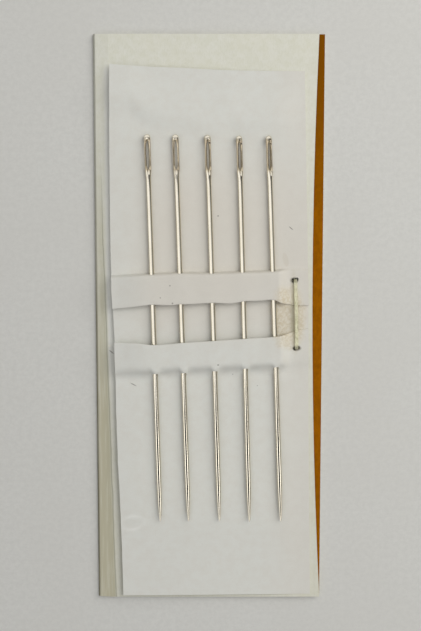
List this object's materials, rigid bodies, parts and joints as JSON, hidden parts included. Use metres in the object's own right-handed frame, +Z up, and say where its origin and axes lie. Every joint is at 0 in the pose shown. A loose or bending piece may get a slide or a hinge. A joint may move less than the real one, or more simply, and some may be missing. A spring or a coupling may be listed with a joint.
{
  "type": "yarn needle card",
  "caption": "Long steel yarn needles with long eyes, held in the pleats of a paper leaf that is stapled into a folded card cover.",
  "frame": {"origin": "under the middle of the card, on the face it lies on", "axes": "+X across the card to the free edges, +Y along the needles to their eyes, +Z up out of the card"},
  "size_m": [0.041, 0.1022, 0.0033],
  "materials": {
    "card": "uncoated grey-cream board, printed plain orange-brown on its outer side",
    "leaf_paper": "smooth white paper, lightly creased",
    "staple_wire": "zinc-plated wire, dulled",
    "needle_steel": "bright nickel plate, lightly brushed along the needle"
  },
  "bodies": {
    "carrier": {"carrier_panel": "card", "needle_leaf": "leaf_paper", "staple": "staple_wire"},
    "spine": {"spine_strip": "card"},
    "cover": {"cover_panel": "card"},
    "needle_1": {"needle_1": "needle_steel"},
    "needle_2": {"needle_2": "needle_steel"},
    "needle_3": {"needle_3": "needle_steel"},
    "needle_4": {"needle_4": "needle_steel"},
    "needle_5": {"needle_5": "needle_steel"}
  },
  "joints": [
    {"name": "spine_fold", "type": "hinge", "parent": "carrier", "child": "spine", "pos_m": [-0.0178, 0, 0.00106], "axis": [0, 1, 0], "range_deg": [0, 95.5]},
    {"name": "cover_fold", "type": "hinge", "parent": "spine", "child": "cover", "pos_m": [-0.02047, 0, 0.0004], "axis": [0, 1, 0], "range_deg": [0, 264.4]},
    {"name": "needle_1_slide", "type": "slide", "parent": "carrier", "child": "needle_1", "axis": [-0.0293, 0.9996, 0], "range_m": [-0.012, 0.09]},
    {"name": "needle_2_slide", "type": "slide", "parent": "carrier", "child": "needle_2", "axis": [-0.0318, 0.9995, 0], "range_m": [-0.012, 0.09]},
    {"name": "needle_3_slide", "type": "slide", "parent": "carrier", "child": "needle_3", "axis": [-0.0318, 0.9995, 0], "range_m": [-0.012, 0.09]},
    {"name": "needle_4_slide", "type": "slide", "parent": "carrier", "child": "needle_4", "axis": [-0.03, 0.9995, 0], "range_m": [-0.012, 0.09]},
    {"name": "needle_5_slide", "type": "slide", "parent": "carrier", "child": "needle_5", "axis": [-0.0373, 0.9993, 0], "range_m": [-0.012, 0.09]}
  ]
}
